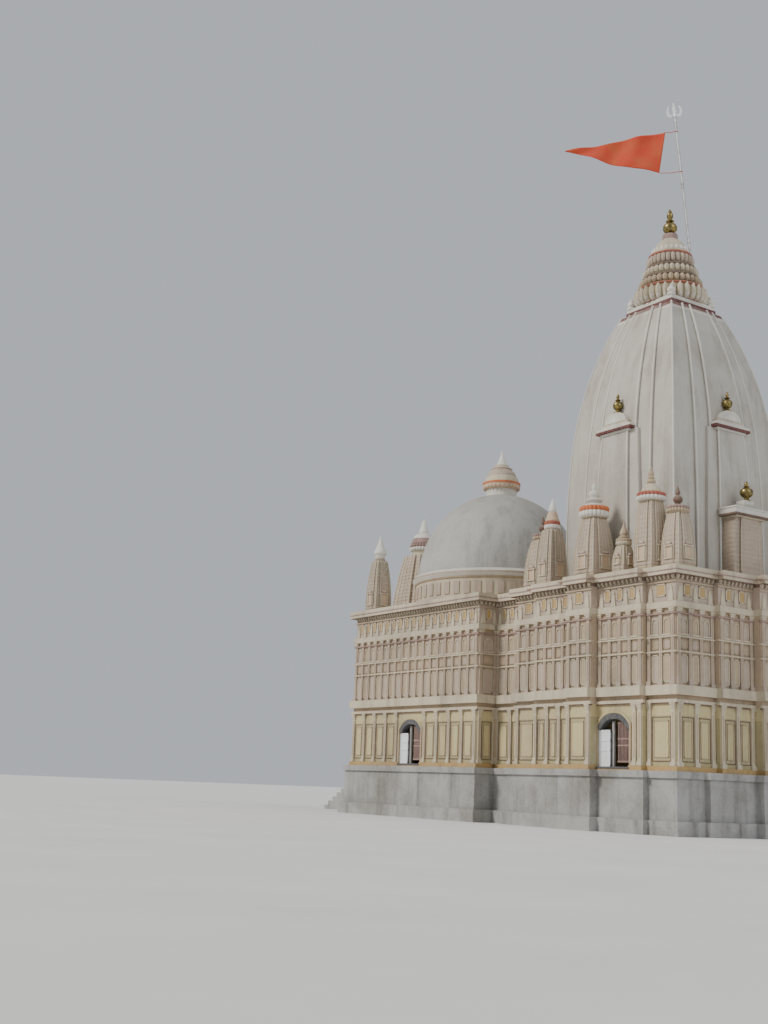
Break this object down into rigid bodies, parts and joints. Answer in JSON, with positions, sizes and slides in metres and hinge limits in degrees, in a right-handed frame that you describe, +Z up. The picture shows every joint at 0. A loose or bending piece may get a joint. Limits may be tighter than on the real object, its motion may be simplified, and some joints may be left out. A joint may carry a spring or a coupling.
{
  "type": "hindu temple",
  "caption": "North Indian temple with a tall curved spire, a ringed crown with flag and trident, a domed hall, small spires on the wall tops and a porch with steps.",
  "frame": {"origin": "on the axis of the main spire at ground level, on the underside of the plinth", "axes": "+Z up, -Y towards the entrance and the steps, +Y the rear, +X the side that the picture shows"},
  "size_m": [8.12, 21.3603, 23.3179],
  "materials": {
    "pale_plaster": "limewashed plaster",
    "spirelet_paint": "painted plaster",
    "wall_paint": "painted plaster",
    "cement_plinth": "cement render",
    "white_leaf": "white enamel",
    "brass": "weathered brass",
    "steel": "brushed",
    "flag_cloth": "saffron cotton"
  },
  "bodies": {
    "root": {"plinth_foot": "cement_plinth", "plinth": "cement_plinth", "front_steps": "cement_plinth", "shrine_wall_left": "wall_paint", "shrine_window_leaf_left": "white_leaf", "shrine_wall_right": "wall_paint", "shrine_window_leaf_right": "white_leaf", "shrine_wall_rear": "wall_paint", "shrine_wall_front": "wall_paint", "hall_wall_left": "wall_paint", "hall_window_leaf_left": "white_leaf", "hall_rear_wall_left": "wall_paint", "hall_wall_right": "wall_paint", "hall_window_leaf_right": "white_leaf", "hall_rear_wall_right": "wall_paint", "hall_front_wall": "wall_paint", "hall_roof": "wall_paint", "link_wall_left": "wall_paint", "link_wall_right": "wall_paint", "link_roof": "wall_paint", "dome_drum": "wall_paint", "dome": "pale_plaster", "dome_crown": "pale_plaster", "dome_finial": "pale_plaster", "spire": "pale_plaster", "face_spire_right": "pale_plaster", "face_spire_rear": "pale_plaster", "face_spire_left": "pale_plaster", "face_spire_front": "pale_plaster", "spire_shoulder": "pale_plaster", "spire_crown": "pale_plaster", "spire_kalasha": "brass", "side_spire_left": "spirelet_paint", "side_spire_right": "spirelet_paint", "corner_disc_spire_left": "spirelet_paint", "corner_disc_spire_right": "spirelet_paint", "side_pinnacle_left": "spirelet_paint", "side_pinnacle_right": "spirelet_paint", "low_pinnacle_left": "spirelet_paint", "low_pinnacle_right": "spirelet_paint", "hall_pinnacle_left": "spirelet_paint", "hall_pinnacle_right": "spirelet_paint", "rear_corner_spire_left": "spirelet_paint", "rear_corner_spire_right": "spirelet_paint", "front_corner_spire_left": "spirelet_paint", "front_corner_spire_right": "spirelet_paint", "rear_spire": "spirelet_paint", "porch_column_left": "wall_paint", "porch_column_right": "wall_paint", "porch_roof": "wall_paint", "porch_spire": "spirelet_paint", "flagpole": "steel", "trident": "steel", "flag": "flag_cloth"}
  },
  "joints": []
}
